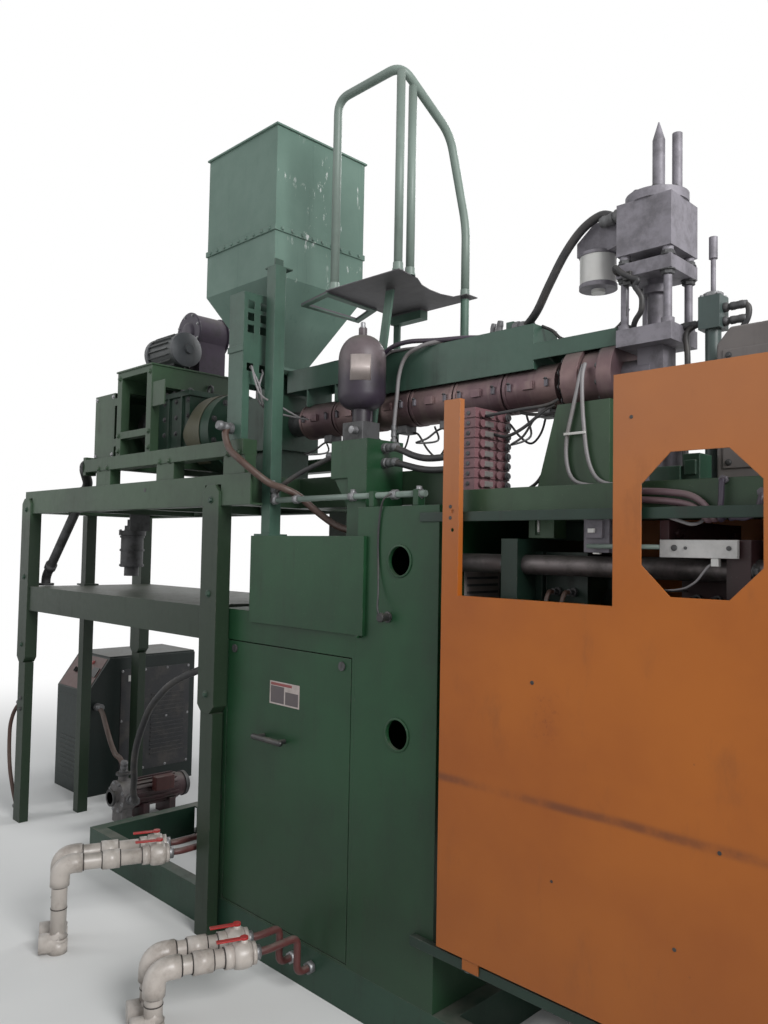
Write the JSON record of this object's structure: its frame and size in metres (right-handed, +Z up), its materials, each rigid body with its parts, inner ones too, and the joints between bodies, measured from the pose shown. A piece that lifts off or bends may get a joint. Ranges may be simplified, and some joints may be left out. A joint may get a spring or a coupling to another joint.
{
  "type": "blow moulding machine",
  "caption": "Accumulator-head extrusion blow moulder with raised extruder, hopper, two-platen clamp, sliding guard, cabinet and water pipes.",
  "frame": {"origin": "on the floor at the front left foot of the left clamp column, on the base's lower face", "axes": "+X along the extruder from drive to head, +Y from the front to the back, +Z up"},
  "size_m": [5.25, 1.7811, 3.3898],
  "materials": {
    "cabinet_green": "worn satin paint",
    "beam_green": "worn satin paint",
    "dark_green": "greasy satin paint",
    "guard_orange": "worn satin paint",
    "hopper_green": "chalky satin paint",
    "pipe_maroon": "worn satin paint",
    "grey_metal": "dull paint",
    "purple_grey": "satin paint",
    "steel": "oily steel",
    "dark_steel": "greasy iron",
    "heater": "heat-tanned steel",
    "light_sheet": "dull sheet",
    "mould_red": "worn paint on steel",
    "black_rubber": "matt rubber",
    "black_plastic": "moulded plastic",
    "brown_rubber": "matt rubber",
    "pale_plastic": "smooth pipe",
    "red_plastic": "smooth lever",
    "floor_grime": "dusty paint"
  },
  "bodies": {
    "frame": {"base_frame": "dark_green", "cabinet": "cabinet_green", "left_column": "cabinet_green", "right_column": "cabinet_green", "tie_bars": "steel", "clamp_cylinders": "dark_steel", "head_table": "beam_green", "guard_rail": "dark_steel", "platform_frame": "beam_green", "drive_rails": "beam_green", "drive_frame": "beam_green", "gearbox": "dark_green", "drive_belts": "black_rubber", "drive_motor": "dark_green", "cooling_fan": "grey_metal", "barrel": "dark_steel", "heater_bands": "heater", "barrel_cover": "light_sheet", "adapter": "pipe_maroon", "feed_throat": "dark_green", "hopper": "hopper_green", "hopper_post": "hopper_green", "cable_duct": "beam_green", "service_platform": "floor_grime", "hand_rail": "grey_metal", "bladder_bottle": "dark_green", "bottle_stand": "beam_green", "valve_stack": "purple_grey", "head_block": "dark_steel", "head_frame": "steel", "head_body": "dark_steel", "oil_can": "light_sheet", "side_cylinder": "dark_steel", "power_unit": "cabinet_green", "water_pump": "pipe_maroon", "hanging_pump": "dark_steel", "hoses": "black_rubber", "water_pipes": "pale_plastic", "steel_pipes": "pipe_maroon"},
    "door": {"cabinet_door": "cabinet_green", "door_handle": "black_plastic"},
    "lock_left": {"lock_left": "dark_steel"},
    "lock_right": {"lock_right": "dark_steel"},
    "platen_left": {"platen_left": "dark_green", "mould_left": "mould_red"},
    "platen_right": {"platen_right": "dark_green", "mould_right": "mould_red"},
    "front_guard": {"front_guard": "guard_orange"},
    "gearbox_pulley": {"gearbox_pulley": "dark_steel"},
    "motor_pulley": {"motor_pulley": "dark_steel"},
    "screw": {"screw": "steel"},
    "slide_gate": {"slide_gate": "steel"},
    "push_ram": {"push_ram": "steel"},
    "side_rod": {"side_rod": "steel"},
    "valve_lever_a": {"valve_lever_a": "red_plastic"},
    "valve_lever_b": {"valve_lever_b": "red_plastic"},
    "valve_lever_c": {"valve_lever_c": "red_plastic"},
    "valve_lever_d": {"valve_lever_d": "red_plastic"},
    "knob_left": {"knob_left": "black_plastic"},
    "knob_right": {"knob_right": "black_plastic"}
  },
  "joints": [
    {"name": "door_tilt", "type": "hinge", "parent": "frame", "child": "door", "pos_m": [-0.392, 0.0052, 0.1652], "axis": [1, 0, 0], "range_deg": [0, 25]},
    {"name": "lock_left_turn", "type": "hinge", "parent": "door", "child": "lock_left", "pos_m": [-0.719, 0, 1.18], "axis": [0, -1, 0], "range_deg": [0, 90]},
    {"name": "lock_right_turn", "type": "hinge", "parent": "door", "child": "lock_right", "pos_m": [-0.066, 0, 1.18], "axis": [0, 1, 0], "range_deg": [0, 90]},
    {"name": "platen_left_slide", "type": "slide", "parent": "frame", "child": "platen_left", "axis": [1, 0, 0], "range_m": [0, 0.1447]},
    {"name": "platen_right_slide", "type": "slide", "parent": "frame", "child": "platen_right", "axis": [-1, 0, 0], "range_m": [0, 0.1447]},
    {"name": "guard_slide", "type": "slide", "parent": "frame", "child": "front_guard", "axis": [1, 0, 0], "range_m": [0, 0.58]},
    {"name": "gearbox_pulley_spin", "type": "hinge", "parent": "frame", "child": "gearbox_pulley", "pos_m": [-1.929, 0.32, 2.23], "axis": [1, 0, 0], "continuous": true},
    {"name": "motor_pulley_spin", "type": "hinge", "parent": "frame", "child": "motor_pulley", "pos_m": [-1.929, 0.65, 2.23], "axis": [1, 0, 0], "continuous": true},
    {"name": "screw_spin", "type": "hinge", "parent": "frame", "child": "screw", "pos_m": [-1, 0.32, 2.146], "axis": [1, 0, 0], "continuous": true},
    {"name": "gate_slide", "type": "slide", "parent": "frame", "child": "slide_gate", "axis": [0, -1, 0], "range_m": [0, 0.13]},
    {"name": "ram_slide", "type": "slide", "parent": "frame", "child": "push_ram", "axis": [0, 0, -1], "range_m": [0, 0.1]},
    {"name": "side_rod_slide", "type": "slide", "parent": "frame", "child": "side_rod", "axis": [0, 0, -1], "range_m": [0, 0.09]},
    {"name": "lever_a_turn", "type": "hinge", "parent": "frame", "child": "valve_lever_a", "pos_m": [-1.04666, -0.14559, 0.3873], "axis": [0, 0, -1], "range_deg": [0, 90]},
    {"name": "lever_b_turn", "type": "hinge", "parent": "frame", "child": "valve_lever_b", "pos_m": [-0.94617, -0.19033, 0.3873], "axis": [0, 0, 1], "range_deg": [0, 90]},
    {"name": "lever_c_turn", "type": "hinge", "parent": "frame", "child": "valve_lever_c", "pos_m": [-0.32649, -0.23948, 0.2673], "axis": [0, 0, -1], "range_deg": [0, 90]},
    {"name": "lever_d_turn", "type": "hinge", "parent": "frame", "child": "valve_lever_d", "pos_m": [-0.2245, -0.28069, 0.2673], "axis": [0, 0, 1], "range_deg": [0, 90]},
    {"name": "knob_left_turn", "type": "hinge", "parent": "frame", "child": "knob_left", "pos_m": [-3.2065, 0.49, 0.7565], "axis": [0, -0.8232, 0.5677], "range_deg": [0, 270]},
    {"name": "knob_right_turn", "type": "hinge", "parent": "frame", "child": "knob_right", "pos_m": [-3.0641, 0.49, 0.7565], "axis": [0, -0.8232, 0.5677], "range_deg": [0, 270]}
  ],
  "couplings": [
    {"joint": "platen_right_slide", "follows": "platen_left_slide", "ratio": 1},
    {"joint": "motor_pulley_spin", "follows": "gearbox_pulley_spin", "ratio": 2},
    {"joint": "screw_spin", "follows": "gearbox_pulley_spin", "ratio": -0.05}
  ]
}
